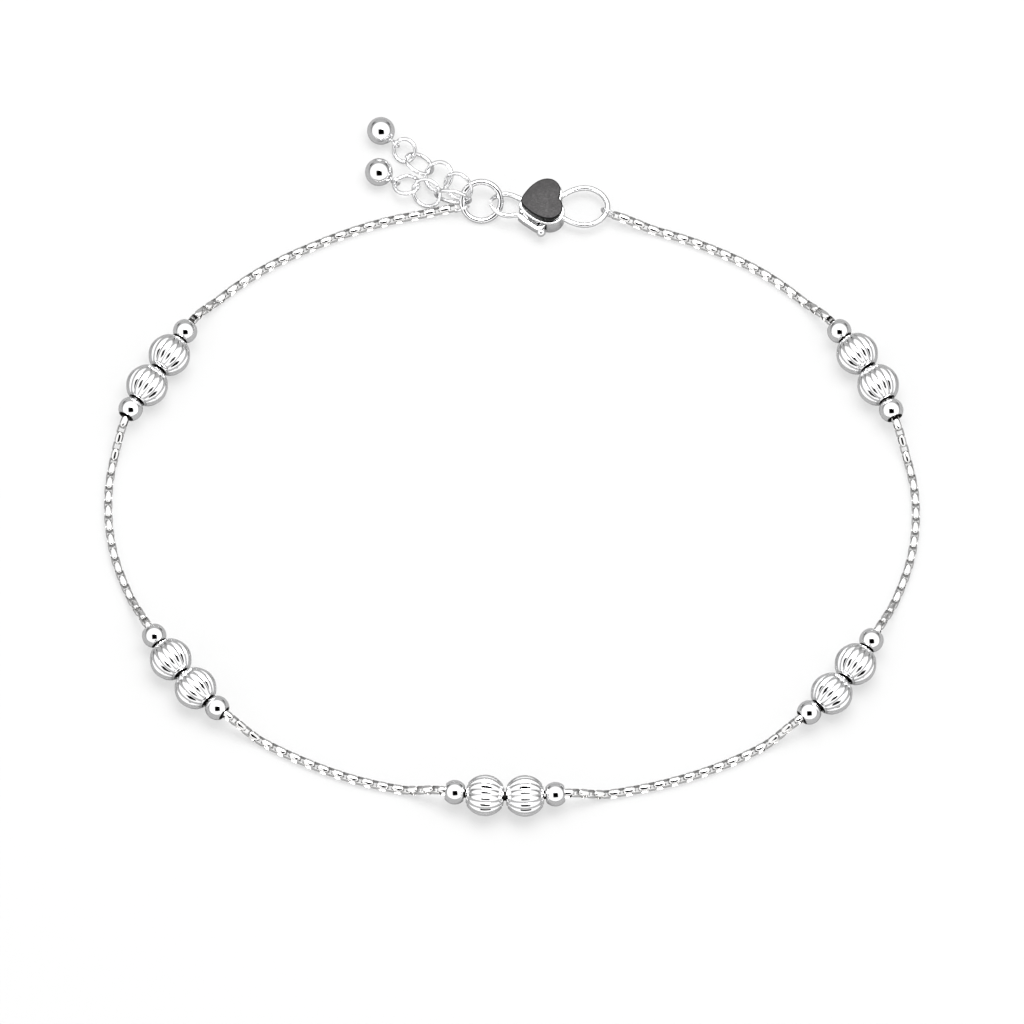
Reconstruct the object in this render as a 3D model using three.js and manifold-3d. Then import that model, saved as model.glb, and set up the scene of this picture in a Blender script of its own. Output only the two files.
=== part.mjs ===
// Payal anklet: a box chain loop with five groups of beads, a heart clasp, a jump ring
// and two short strands of round links that each end in a ball.
// Millimetres, +Z up. The jewel lies on the plane z = 0, with the middle of its box over the origin.
// Seen from above, the clasp is at the far side (+Y) and its claw points to -X.
import * as THREE from 'three';
import { mergeVertices } from 'three/addons/utils/BufferGeometryUtils.js';
import Module from 'manifold-3d';

const wasm = await Module();
wasm.setup();

// Loop of the chain, seen from above
const LOOP_WIDTH = 80.6;
const LOOP_DEPTH = 64.1;

// Box chain
const CHAIN_DIAMETER = 1.0;
const CHAIN_SIDES = 8;
const CHAIN_STEPS = 80;
const END_LINK_OUTER = 1.6;
const END_LINK_WIRE = 0.26;
const CHAIN_START_GAP = 1.2;
const CHAIN_START_SIDE = 0.3;
const CHAIN_END_GAP = 3.03;
const CHAIN_END_SIDE = 0.65;
const CHAIN_BEND_GAP = 9.73;
const CHAIN_BEND_SIDE = 2;

// Beads
const FLUTED_DIAMETER = 4.1;
const FLUTED_LENGTH = 3.72;
const FLUTE_COUNT = 16;
const FLUTE_DEPTH = 0.22;
const PLAIN_DIAMETER = 2.45;
const PLAIN_LENGTH = 1.86;
const PLAIN_SIDES = 14;
const BEAD_CLEARANCE = 0.28;
const BEAD_GAP = 0.26;
const PLAIN_GAP = 0.24;
const DROP_START = 0.2;
const DROP_LENGTH = 4.5;

// Jump ring
const RING_OUTER = 4.5;
const RING_WIRE = 0.6;
const RING_TILT = 25;
const RING_HOLD_ANGLE = 202;
const FLOOR_CLEARANCE = 0.02;

// Extension links and drop balls
const LINK_OUTER = 3.2;
const UPPER_LAST_OUTER = 2.64;
const LOWER_FIRST_OUTER = 3.84;
const LOWER_LAST_OUTER = 2.8;
const LINK_WIRE = 0.32;
const BALL_DIAMETER = 2.8;
const BALL_EYE_WIRE = 0.24;
const BALL_NECK = 0.16;
const WIRE_CLEARANCE = 0.12;

// Heart clasp
const HEART_LENGTH = 4.15;
const HEART_WIDTH = 4.4;
const HEART_TURN = 6;
const PLATE_THICKNESS = 0.95;
const PLATE_BEVEL = 0.12;
const PLATE_SEAT_GAP = 0.05;
const HOUSING_HEIGHT = 2.3;
const HOUSING_LEDGE = 0.2;
const HOUSING_BEVEL = 0.12;
const CLAW_WIRE = 0.5;
const CLAW_REACH = 5.2;
const CLAW_WIDTH = 2.75;
const HOOK_HEIGHT = 0.82;
const GATE_HEIGHT = 1.75;
const GATE_THICKNESS = 0.4;
const BAIL_WIRE = 0.54;
const BAIL_REACH = 6.56;
const BAIL_WIDTH = 4.05;
const BAIL_HEIGHT = 1.3;
const LEVER_STRIP_WIDTH = 0.5;
const LEVER_STRIP_HEIGHT = 1.05;
const LEVER_CLEARANCE = 0.12;
const LEVER_NUB = 0.95;
const LEVER_OPENING = 6;
const PIVOT_ALONG = 0.95;
const PIVOT_SIDE = 1.15;
const POST_DIAMETER = 0.56;
const HUB_DIAMETER = 1.3;

const CLASP_SIDE = 3.04;
const CLASP_OUT = 0.6;
const RING_SIDE = -3.07;
const RING_OUT = 1.25;
const CLASP_PLACE = new THREE.Vector2(CLASP_SIDE, LOOP_DEPTH / 2 + CLASP_OUT);
const RING_PLACE = new THREE.Vector2(RING_SIDE, LOOP_DEPTH / 2 + RING_OUT);

// Loop seen from above, clockwise, in shares of half its width and half its depth
const LOOP_ROUTE = [
  [0.335, 0.977], [0.464, 0.908], [0.625, 0.802], [0.759, 0.665], [0.854, 0.515], [0.908, 0.406],
  [0.96, 0.256], [1, 0.047], [0.99, -0.156], [0.928, -0.368], [0.851, -0.537], [0.794, -0.633],
  [0.717, -0.718], [0.566, -0.833], [0.395, -0.914], [0.211, -0.961], [0.036, -0.981], [-0.062, -0.98],
  [-0.238, -0.949], [-0.4, -0.902], [-0.563, -0.817], [-0.707, -0.708], [-0.782, -0.621], [-0.844, -0.524],
  [-0.916, -0.374], [-0.988, -0.144], [-1, 0.078], [-0.96, 0.287], [-0.906, 0.402], [-0.851, 0.505],
  [-0.769, 0.661], [-0.638, 0.799], [-0.476, 0.905],
];

// The chain starts beside the bail's end, goes round the loop and ends at the jump ring
const CHAIN_ROUTE = [
  [CLASP_PLACE.x + BAIL_REACH + CHAIN_START_GAP, CLASP_PLACE.y - CHAIN_START_SIDE],
  ...LOOP_ROUTE.map(([across, along]) => [(across * LOOP_WIDTH) / 2, (along * LOOP_DEPTH) / 2]),
  [RING_PLACE.x - CHAIN_BEND_GAP, RING_PLACE.y - CHAIN_BEND_SIDE],
  [RING_PLACE.x - CHAIN_END_GAP, RING_PLACE.y - CHAIN_END_SIDE],
];

// Middle of each bead group, as a share of the route's length
const BEAD_GROUPS = [
  { name: 'upper_right', share: 0.148 },
  { name: 'lower_right', share: 0.3175 },
  { name: 'bottom', share: 0.493 },
  { name: 'lower_left', share: 0.6615 },
  { name: 'upper_left', share: 0.8305 },
];

const silver = () => new THREE.MeshStandardMaterial({ color: 0xe2e3e6, metalness: 1, roughness: 0.12 });
const gunmetal = () => new THREE.MeshStandardMaterial({ color: 0x3a3738, metalness: 0.6, roughness: 0.4 });

const anklet = new THREE.Group();
const radians = THREE.MathUtils.degToRad;

function addPiece(name, geometry, material, parent = anklet) {
  const mesh = new THREE.Mesh(geometry, material);
  mesh.name = name;
  parent.add(mesh);
  return mesh;
}

function toSolid(geometry) {
  const bare = geometry.clone();
  bare.deleteAttribute('normal');
  bare.deleteAttribute('uv');
  const merged = mergeVertices(bare, 1e-4);
  return new wasm.Manifold(new wasm.Mesh({
    numProp: 3,
    vertProperties: new Float32Array(merged.attributes.position.array),
    triVerts: new Uint32Array(merged.index.array),
  }));
}

function toGeometry(solid) {
  const mesh = solid.getMesh();
  const geometry = new THREE.BufferGeometry();
  geometry.setAttribute('position', new THREE.BufferAttribute(mesh.vertProperties, 3));
  geometry.setIndex(new THREE.BufferAttribute(mesh.triVerts, 1));
  geometry.computeVertexNormals();
  return geometry;
}

function ellipseShape(halfX, halfY, sides) {
  const shape = new THREE.Shape();
  for (let i = 0; i < sides; i += 1) {
    const angle = (2 * Math.PI * i) / sides;
    const x = halfX * Math.cos(angle);
    const y = halfY * Math.sin(angle);
    if (i === 0) shape.moveTo(x, y);
    else shape.lineTo(x, y);
  }
  return shape;
}

// A closed bar of the given section that follows a path
function bar(path, section, steps) {
  return new THREE.ExtrudeGeometry(section, { steps, extrudePath: path, bevelEnabled: false });
}

// The jump ring leans on the claw: its near side is down, its far side up
const ringRadius = (RING_OUTER - RING_WIRE) / 2;
const ringRise = ringRadius * Math.sin(radians(RING_TILT));
const ringCentre = new THREE.Vector3(
  RING_PLACE.x, RING_PLACE.y, RING_WIRE / 2 + ringRise + FLOOR_CLEARANCE,
);

function ringPoint(angle) {
  const a = radians(angle);
  const t = radians(RING_TILT);
  return new THREE.Vector3(
    ringRadius * Math.cos(a), ringRadius * Math.sin(a) * Math.cos(t), ringRadius * Math.sin(a) * Math.sin(t),
  ).add(ringCentre);
}

// Where the chain's last link holds the jump ring
const chainHold = ringPoint(RING_HOLD_ANGLE);

// Chain route with its height: beads rest on the floor, and the chain drops to it beside them
const flatRoute = new THREE.CatmullRomCurve3(
  CHAIN_ROUTE.map(([x, y]) => new THREE.Vector3(x, y, 0)), false, 'centripetal',
);
flatRoute.arcLengthDivisions = 2000;
const routeLength = flatRoute.getLength();
const chainRadius = CHAIN_DIAMETER / 2;
const beadAxisHeight = FLUTED_DIAMETER / 2;
const groupHalf = FLUTED_LENGTH + BEAD_GAP / 2 + PLAIN_GAP + PLAIN_LENGTH / 2;

function heightAt(distance) {
  const nearest = Math.min(...BEAD_GROUPS.map(({ share }) => Math.abs(distance - share * routeLength)));
  const dropFrom = groupHalf + PLAIN_LENGTH / 2 + DROP_START;
  const beside = THREE.MathUtils.smoothstep(nearest - dropFrom, 0, DROP_LENGTH);
  const fromBail = THREE.MathUtils.smoothstep(distance, 0, DROP_LENGTH);
  const toRing = THREE.MathUtils.smoothstep(routeLength - distance, 0, DROP_LENGTH);
  return chainRadius + (beadAxisHeight - chainRadius) * (1 - beside)
    + (BAIL_HEIGHT - chainRadius) * (1 - fromBail) + (chainHold.z - chainRadius) * (1 - toRing);
}

function routePoint(distance) {
  const point = flatRoute.getPointAt(THREE.MathUtils.clamp(distance / routeLength, 0, 1));
  point.z = heightAt(distance);
  return point;
}

function routeDirection(distance) {
  const reach = 0.5;
  return routePoint(distance + reach).sub(routePoint(distance - reach)).normalize();
}

class ChainPath extends THREE.Curve {
  getPoint(t, target = new THREE.Vector3()) {
    return target.copy(routePoint(t * routeLength));
  }

  getPointAt(t, target) {
    return this.getPoint(t, target);
  }
}

function makeChain() {
  const section = ellipseShape(chainRadius, chainRadius, CHAIN_SIDES);
  addPiece('box_chain', bar(new ChainPath(), section, CHAIN_STEPS), silver());
}

// The chain's end links stand across the bail's wire and across the jump ring's
function makeEndLinks() {
  const inside = END_LINK_OUTER / 2 - END_LINK_WIRE - WIRE_CLEARANCE;
  const bailEnd = new THREE.Vector3(CLASP_PLACE.x + BAIL_REACH, CLASP_PLACE.y, BAIL_HEIGHT);
  const ringOut = chainHold.clone().sub(ringCentre).normalize();
  const ringAlong = linkAxis(RING_TILT, -90).cross(ringOut);
  [
    { name: 'end_link_bail', hold: bailEnd, heldWire: BAIL_WIRE, out: new THREE.Vector3(1, 0, 0), axis: linkAxis(90, 84) },
    { name: 'end_link_ring', hold: chainHold, heldWire: RING_WIRE, out: ringOut, axis: ringAlong },
  ].forEach(({ name, hold, heldWire, out, axis }) => {
    const mesh = addPiece(name, wireLink(END_LINK_OUTER, END_LINK_WIRE, 12), silver());
    placeLink(mesh, hold.clone().addScaledVector(out, inside - heldWire / 2), axis);
  });
}

// Beads are turned about Y and then laid along the chain
function beadProfile(rows, halfLength, radius, bore) {
  const points = rows.map(({ along, out }) => new THREE.Vector2(bore + (radius - bore) * out, along * halfLength));
  points.unshift(new THREE.Vector2(bore, -halfLength));
  points.push(new THREE.Vector2(bore, halfLength));
  points.push(points[0].clone());
  return points;
}

const beadBore = chainRadius + BEAD_CLEARANCE;

// Rows along the bead, as shares of its half length and of the wall from bore to crest
const FLUTED_ROWS = [
  { along: -1, out: 0.12, groove: 0 },
  { along: -0.93, out: 0.42, groove: 0.6 },
  { along: -0.62, out: 0.86, groove: 1 },
  { along: 0, out: 1, groove: 1 },
  { along: 0.62, out: 0.86, groove: 1 },
  { along: 0.93, out: 0.42, groove: 0.6 },
  { along: 1, out: 0.12, groove: 0 },
];
const PLAIN_ROWS = [
  { along: -1, out: 0.35 },
  { along: -0.72, out: 0.85 },
  { along: 0, out: 1 },
  { along: 0.72, out: 0.85 },
  { along: 1, out: 0.35 },
];

function flutedBead() {
  const halfLength = FLUTED_LENGTH / 2;
  const profile = beadProfile(FLUTED_ROWS, halfLength, FLUTED_DIAMETER / 2, beadBore);
  const columns = 2 * FLUTE_COUNT;
  const geometry = new THREE.LatheGeometry(profile, columns);
  const position = geometry.attributes.position;
  for (let column = 0; column <= columns; column += 1) {
    if (column % 2 === 0) continue;
    FLUTED_ROWS.forEach(({ groove }, row) => {
      const index = column * profile.length + row + 1;
      const x = position.getX(index);
      const z = position.getZ(index);
      const radius = Math.hypot(x, z);
      const scale = (radius - FLUTE_DEPTH * groove) / radius;
      position.setX(index, x * scale);
      position.setZ(index, z * scale);
    });
  }
  return geometry;
}

function plainBead() {
  const profile = beadProfile(PLAIN_ROWS, PLAIN_LENGTH / 2, PLAIN_DIAMETER / 2, beadBore);
  return new THREE.LatheGeometry(profile, PLAIN_SIDES);
}

function threadBead(name, geometry, distance) {
  const mesh = addPiece(name, geometry, silver());
  mesh.position.copy(routePoint(distance));
  mesh.quaternion.setFromUnitVectors(new THREE.Vector3(0, 1, 0), routeDirection(distance));
}

function makeBeads() {
  const flutedOffset = (FLUTED_LENGTH + BEAD_GAP) / 2;
  const plainOffset = groupHalf;
  BEAD_GROUPS.forEach(({ name, share }) => {
    const middle = share * routeLength;
    threadBead(`fluted_bead_${name}_1`, flutedBead(), middle - flutedOffset);
    threadBead(`fluted_bead_${name}_2`, flutedBead(), middle + flutedOffset);
    threadBead(`plain_bead_${name}_1`, plainBead(), middle - plainOffset);
    threadBead(`plain_bead_${name}_2`, plainBead(), middle + plainOffset);
  });
}

// A round wire link
function wireLink(outer, wire, sides) {
  return new THREE.TorusGeometry((outer - wire) / 2, wire / 2, 6, sides);
}

// A link's axis leans from upright by its tilt, towards the given bearing
function linkAxis(tilt, toward) {
  const t = radians(tilt);
  const a = radians(toward);
  return new THREE.Vector3(Math.sin(t) * Math.cos(a), Math.sin(t) * Math.sin(a), Math.cos(t));
}

function placeLink(mesh, centre, axis) {
  mesh.position.copy(centre);
  mesh.quaternion.setFromUnitVectors(new THREE.Vector3(0, 0, 1), axis);
}

function makeJumpRing() {
  const mesh = addPiece('jump_ring', wireLink(RING_OUTER, RING_WIRE, 20), silver());
  placeLink(mesh, ringCentre, linkAxis(RING_TILT, -90));
}

// Links of the two strands, from the jump ring outwards, each with its middle from the ring's place
const STRANDS = [
  {
    name: 'upper',
    ballHeading: 141,
    links: [
      { outer: LINK_OUTER, from: [-2.31, 1.43, 1.61], tilt: 57, toward: -122 },
      { outer: LINK_OUTER, from: [-4.3, 2.72, 1.21], tilt: 27, toward: -156 },
      { outer: LINK_OUTER, from: [-6.24, 4.12, 1.06], tilt: 37, toward: 46 },
      { outer: UPPER_LAST_OUTER, from: [-7.73, 5.65, 0.92], tilt: 36, toward: -130 },
    ],
  },
  {
    name: 'lower',
    ballHeading: 165,
    links: [
      { outer: LOWER_FIRST_OUTER, from: [-2.86, 0.14, 1.93], tilt: 85, toward: 79 },
      { outer: LINK_OUTER, from: [-5.51, 0.84, 1.32], tilt: 49, toward: -121 },
      { outer: LOWER_LAST_OUTER, from: [-7.51, 1.86, 1], tilt: 22, toward: 104 },
    ],
  },
];

function fromRing([x, y, z]) {
  return new THREE.Vector3(RING_PLACE.x + x, RING_PLACE.y + y, z);
}

const ballRadius = BALL_DIAMETER / 2;
const eyeRadius = (LINK_WIRE + BALL_EYE_WIRE) / 2 + WIRE_CLEARANCE;
const eyeReach = ballRadius + eyeRadius + BALL_NECK;

function dropBall() {
  const ball = toSolid(new THREE.SphereGeometry(ballRadius, 16, 10));
  const eye = new THREE.TorusGeometry(eyeRadius, BALL_EYE_WIRE / 2, 6, 12);
  eye.rotateX(Math.PI / 2);
  eye.translate(eyeReach, 0, 0);
  const neck = new THREE.CylinderGeometry(BALL_EYE_WIRE / 2, BALL_EYE_WIRE / 2, 2 * BALL_NECK, 8);
  neck.rotateZ(Math.PI / 2);
  neck.translate(ballRadius, 0, 0);
  return toGeometry(ball.add(toSolid(eye)).add(toSolid(neck)));
}

// The ball's eye stands across the wire of the last link, at the point nearest the ball
function makeStrands() {
  STRANDS.forEach(({ name, links, ballHeading }) => {
    links.forEach(({ outer, from, tilt, toward }, index) => {
      const mesh = addPiece(`link_${name}_${index + 1}`, wireLink(outer, LINK_WIRE, 20), silver());
      placeLink(mesh, fromRing(from), linkAxis(tilt, toward));
    });
    const last = links[links.length - 1];
    const axis = linkAxis(last.tilt, last.toward);
    const angle = radians(ballHeading);
    const heading = new THREE.Vector3(Math.cos(angle), Math.sin(angle), 0);
    const out = heading.clone().projectOnPlane(axis).normalize();
    const hold = fromRing(last.from).addScaledVector(out, (last.outer - LINK_WIRE) / 2);
    const drop = ballRadius + FLOOR_CLEARANCE - hold.z;
    const run = Math.sqrt(eyeReach ** 2 - drop ** 2);
    const middle = hold.clone().addScaledVector(heading, run);
    middle.z = ballRadius + FLOOR_CLEARANCE;
    const back = hold.clone().sub(middle).normalize();
    const across = axis.clone().cross(out).projectOnPlane(back).normalize();
    const mesh = addPiece(`drop_ball_${name}`, dropBall(), silver());
    mesh.position.copy(middle);
    mesh.quaternion.setFromRotationMatrix(new THREE.Matrix4().makeBasis(back, across, back.clone().cross(across)));
  });
}

// Heart outline with its tip to -X: half of it as curve points in shares of length and width
const HEART_HALF = [
  { c1: [-0.52, 0.12], c2: [-0.17, 0.5], to: [0.14, 0.5] },
  { c1: [0.36, 0.5], c2: [0.48, 0.33], to: [0.47, 0.18] },
  { c1: [0.46, 0.1], c2: [0.42, 0.05], to: [0.41, 0] },
];

function heartShape(length, width) {
  const shape = new THREE.Shape();
  const at = ([x, y], side) => [x * length, side * y * width];
  shape.moveTo(-0.52 * length, 0);
  HEART_HALF.forEach(({ c1, c2, to }) => {
    shape.bezierCurveTo(...at(c1, -1), ...at(c2, -1), ...at(to, -1));
  });
  for (let i = HEART_HALF.length - 1; i >= 0; i -= 1) {
    const { c1, c2 } = HEART_HALF[i];
    const from = i > 0 ? HEART_HALF[i - 1].to : [-0.52, 0];
    shape.bezierCurveTo(...at(c2, 1), ...at(c1, 1), ...at(from, 1));
  }
  return shape;
}

function slab(shape, bottom, height, bevel) {
  const geometry = new THREE.ExtrudeGeometry(shape, {
    depth: height - 2 * bevel,
    curveSegments: 6,
    bevelEnabled: bevel > 0,
    bevelSegments: 1,
    bevelSize: bevel,
    bevelThickness: bevel,
    bevelOffset: -bevel,
  });
  geometry.translate(0, 0, bottom + bevel);
  return geometry;
}

// Places on the clasp seen from above, from the heart's middle
const pivot = new THREE.Vector2(PIVOT_ALONG, -PIVOT_SIDE);
const stripBottom = GATE_HEIGHT + GATE_THICKNESS / 2 - LEVER_STRIP_HEIGHT;
const stripMiddle = stripBottom + LEVER_STRIP_HEIGHT / 2;

// Claw and bail wires, in shares of their reach and half width
const HOOK_ROUTE = [[0.33, 0.56], [0.5, 0.9], [0.62, 1.08], [0.74, 1.13], [0.86, 1.0], [0.95, 0.72], [1, 0.4]];
const GATE_ROUTE = [[1, 0.03], [0.95, -0.3], [0.82, -0.7], [0.66, -0.86], [0.5, -0.82], [0.43, -0.86]];
const STRIP_ROUTE = [[0.44, -0.84], [0.36, -1.13], [0.24, -1.46], [0.14, -1.73], [0.06, -1.9]];
const BAIL_HALF = [[0.26, 0.5], [0.47, 0.88], [0.65, 1], [0.82, 0.86], [0.95, 0.48]];

function clawPoints(route, height) {
  return route.map(([along, out]) => new THREE.Vector3(
    -along * CLAW_REACH, (out * CLAW_WIDTH) / 2, height,
  ));
}

function hookSolid() {
  const points = clawPoints(HOOK_ROUTE, HOOK_HEIGHT);
  const last = points.length - 1;
  points[last].z = THREE.MathUtils.lerp(HOOK_HEIGHT, GATE_HEIGHT, 0.7);
  points[last - 1].z = THREE.MathUtils.lerp(HOOK_HEIGHT, GATE_HEIGHT, 0.3);
  const section = ellipseShape(GATE_THICKNESS / 2, CLAW_WIRE / 2, 8);
  return toSolid(bar(new THREE.CatmullRomCurve3(points), section, 14));
}

// The room for the lever is also longer than the lever at the free end
function lengthened(points, grow) {
  const [end, next] = points;
  end.addScaledVector(end.clone().sub(next).normalize(), grow);
  return points;
}

function gateSolid(grow) {
  const points = lengthened(clawPoints(GATE_ROUTE, GATE_HEIGHT), grow);
  const section = ellipseShape(GATE_THICKNESS / 2 + grow, CLAW_WIRE / 2 + grow, 8);
  return toSolid(bar(new THREE.CatmullRomCurve3(points), section, 12));
}

function rectangle(width, height) {
  const shape = new THREE.Shape();
  shape.moveTo(-width / 2, -height / 2);
  shape.lineTo(width / 2, -height / 2);
  shape.lineTo(width / 2, height / 2);
  shape.lineTo(-width / 2, height / 2);
  return shape;
}

function stripSolid(grow) {
  const points = lengthened(clawPoints(STRIP_ROUTE, stripMiddle), grow);
  const section = rectangle(LEVER_STRIP_HEIGHT + 2 * grow, LEVER_STRIP_WIDTH + 2 * grow);
  return toSolid(bar(new THREE.CatmullRomCurve3(points), section, 8));
}

function tongueSolid(grow) {
  const points = clawPoints(STRIP_ROUTE, stripMiddle);
  const from = points[points.length - 1];
  const path = new THREE.LineCurve3(from, new THREE.Vector3(pivot.x, pivot.y, stripMiddle));
  const section = rectangle(LEVER_STRIP_HEIGHT + 2 * grow, LEVER_STRIP_WIDTH + 2 * grow);
  return toSolid(bar(path, section, 1));
}

function uprightCylinder(diameter, bottom, height, sides) {
  const geometry = new THREE.CylinderGeometry(diameter / 2, diameter / 2, height, sides);
  geometry.rotateX(Math.PI / 2);
  geometry.translate(pivot.x, pivot.y, bottom + height / 2);
  return toSolid(geometry);
}

function leverSolid(grow) {
  const hub = uprightCylinder(HUB_DIAMETER + 2 * grow, stripBottom - grow, LEVER_STRIP_HEIGHT + 2 * grow, 16);
  return gateSolid(grow).add(stripSolid(grow)).add(tongueSolid(grow)).add(hub);
}

function nubSolid(grow) {
  const end = clawPoints(STRIP_ROUTE, stripMiddle)[STRIP_ROUTE.length - 1];
  const nub = new THREE.SphereGeometry(LEVER_NUB / 2 + grow, 14, 10);
  nub.translate(end.x + LEVER_NUB * 0.2, end.y - LEVER_NUB * 0.25, stripMiddle);
  return toSolid(nub);
}

function turnedAboutPivot(solid, degrees) {
  return solid.translate([-pivot.x, -pivot.y, 0]).rotate([0, 0, degrees]).translate([pivot.x, pivot.y, 0]);
}

function bailSolid() {
  const upper = BAIL_HALF.map(([along, out]) => [along, out]);
  const lower = BAIL_HALF.map(([along, out]) => [along, -out]).reverse();
  const points = [...upper, [1, 0], ...lower].map(([along, out]) => new THREE.Vector3(
    along * BAIL_REACH, (out * BAIL_WIDTH) / 2, BAIL_HEIGHT,
  ));
  return toSolid(bar(new THREE.CatmullRomCurve3(points), ellipseShape(BAIL_WIRE / 2, BAIL_WIRE / 2, 8), 24));
}

function claspBody() {
  const outline = heartShape(HEART_LENGTH + 2 * HOUSING_LEDGE, HEART_WIDTH + 2 * HOUSING_LEDGE);
  const housing = slab(outline, 0, HOUSING_HEIGHT, HOUSING_BEVEL);
  housing.rotateZ(radians(HEART_TURN));
  let body = toSolid(housing).add(hookSolid()).add(bailSolid());
  const room = leverSolid(LEVER_CLEARANCE).add(nubSolid(LEVER_CLEARANCE));
  for (const share of [0, 0.5, 1]) {
    body = body.subtract(turnedAboutPivot(room, -share * LEVER_OPENING));
  }
  const post = uprightCylinder(POST_DIAMETER, HOUSING_HEIGHT / 4, HOUSING_HEIGHT / 2, 12);
  return body.add(post);
}

function makeClasp() {
  const clasp = new THREE.Group();
  clasp.position.set(CLASP_PLACE.x, CLASP_PLACE.y, 0);
  anklet.add(clasp);
  addPiece('clasp_body', toGeometry(claspBody()), silver(), clasp);

  const plate = slab(heartShape(HEART_LENGTH, HEART_WIDTH), HOUSING_HEIGHT + PLATE_SEAT_GAP, PLATE_THICKNESS, PLATE_BEVEL);
  plate.rotateZ(radians(HEART_TURN));
  addPiece('heart_plate', plate, gunmetal(), clasp);

  const bore = uprightCylinder(POST_DIAMETER + 2 * LEVER_CLEARANCE, 0, HOUSING_HEIGHT, 12);
  addPiece('clasp_lever', toGeometry(leverSolid(0).add(nubSolid(0)).subtract(bore)), silver(), clasp);
}

makeChain();
makeEndLinks();
makeBeads();
makeJumpRing();
makeStrands();
makeClasp();

// The origin is the middle of the jewel's box, on the surface it lies on
const box = new THREE.Box3().setFromObject(anklet, true);
const middle = box.getCenter(new THREE.Vector3());
anklet.position.set(-middle.x, -middle.y, -box.min.z);
anklet.updateMatrixWorld(true);

export default anklet;
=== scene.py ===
import math

import bpy
from mathutils import Matrix, Vector


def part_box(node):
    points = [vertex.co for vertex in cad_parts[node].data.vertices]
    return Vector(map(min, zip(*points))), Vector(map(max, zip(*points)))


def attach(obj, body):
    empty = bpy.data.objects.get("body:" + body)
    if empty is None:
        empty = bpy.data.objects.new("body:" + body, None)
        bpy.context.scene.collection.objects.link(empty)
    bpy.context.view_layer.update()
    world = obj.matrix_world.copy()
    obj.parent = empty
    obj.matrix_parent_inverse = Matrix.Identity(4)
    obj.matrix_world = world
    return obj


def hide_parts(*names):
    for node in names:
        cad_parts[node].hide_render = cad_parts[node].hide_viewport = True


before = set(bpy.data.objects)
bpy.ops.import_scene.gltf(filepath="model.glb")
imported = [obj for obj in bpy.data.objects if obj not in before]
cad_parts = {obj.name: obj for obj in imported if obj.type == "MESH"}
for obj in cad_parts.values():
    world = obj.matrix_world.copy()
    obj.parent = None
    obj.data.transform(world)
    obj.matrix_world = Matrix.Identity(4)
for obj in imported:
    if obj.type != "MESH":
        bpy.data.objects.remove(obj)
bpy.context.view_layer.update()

# Real sizes, in metres
MM = 0.001

LOOP_WIDTH = 80.6 * MM
LOOP_DEPTH = 64.1 * MM

CHAIN_DIAMETER = 1.0 * MM
CHAIN_PITCH = 0.775 * MM
CHAIN_UP_LENGTH = 1.25 * MM
CHAIN_SIDE_LENGTH = 0.95 * MM
CHAIN_BAND_WIDTH = 0.84 * MM
CHAIN_WALL = 0.15 * MM
CHAIN_SIDE_NARROWING = 0.86
CHAIN_END_NARROWING = 0.7
CHAIN_EDGE_ROUNDING = 0.17 * MM
CHAIN_END_FACE = 0.98
CHAIN_WIDE_SHARE = 0.45
CHAIN_NARROW_SHARE = 0.6
CHAIN_OVERRUN = 0.1 * MM
CHAIN_START_GAP = 1 * MM
CHAIN_START_SIDE = 1.05 * MM
CHAIN_END_GAP = 3.03 * MM
CHAIN_END_SIDE = 0.65 * MM
CHAIN_BEND_GAP = 9.73 * MM
CHAIN_BEND_SIDE = 2 * MM
BAIL_HOLD_BACK = 0.13 * MM
BAIL_HOLD_SIDE = 0.6 * MM
BAIL_HOLD_BEARING = -22
BAIL_HOLD_TURN = 84
END_LINK_OUTER = 1.6 * MM
END_LINK_WIRE = 0.26 * MM

FLUTED_DIAMETER = 4.2 * MM
FLUTED_LENGTH = 3.72 * MM
FLUTE_COUNT = 16
FLUTE_DEPTH = 0.18 * MM
COLLAR_DIAMETER = 1.84 * MM
COLLAR_HEIGHT = 0.12 * MM
COLLAR_CHAMFER = 0.05 * MM
BORE_LIP = 0.04 * MM
BORE_MARGIN = 0.005 * MM
END_MARGIN = 0.012 * MM
PLAIN_DIAMETER = 2.45 * MM
PLAIN_LENGTH = 1.86 * MM
BEAD_BORE = 1.4 * MM
PLAIN_BORE = BEAD_BORE - 0.1 * MM
PLAIN_RIM_HEIGHT = 0.02 * MM
PLAIN_RIM_STEP = 0.04 * MM
BEAD_GAP = 0.26 * MM
PLAIN_GAP = 0.24 * MM
DARK_CHAIN_MARGIN = 0.1 * MM
DROP_START = 0.2 * MM
DROP_LENGTH = 4.5 * MM

RING_OUTER = 4.5 * MM
RING_WIRE = 0.6 * MM
RING_TILT = 25
RING_HOLD_ANGLE = 202
RING_SEAM_ANGLE = 72
RING_SEAM_HALF = 0.6
RING_STEPS = 96
FLOOR_CLEARANCE = 0.02 * MM

LINK_OUTER = 3.2 * MM
UPPER_LAST_OUTER = 2.64 * MM
LOWER_FIRST_OUTER = 3.84 * MM
LOWER_LAST_OUTER = 2.8 * MM
LINK_WIRE = 0.38 * MM
CAD_LINK_WIRE = 0.32 * MM
BALL_DIAMETER = 2.8 * MM
BALL_EYE_WIRE = 0.24 * MM
BALL_NECK = 0.16 * MM
BOSS_HALF_ANGLE = 9
BOSS_HEIGHT = 0.1 * MM
BOSS_TAPER = 0.8
WIRE_CLEARANCE = 0.12 * MM

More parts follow.
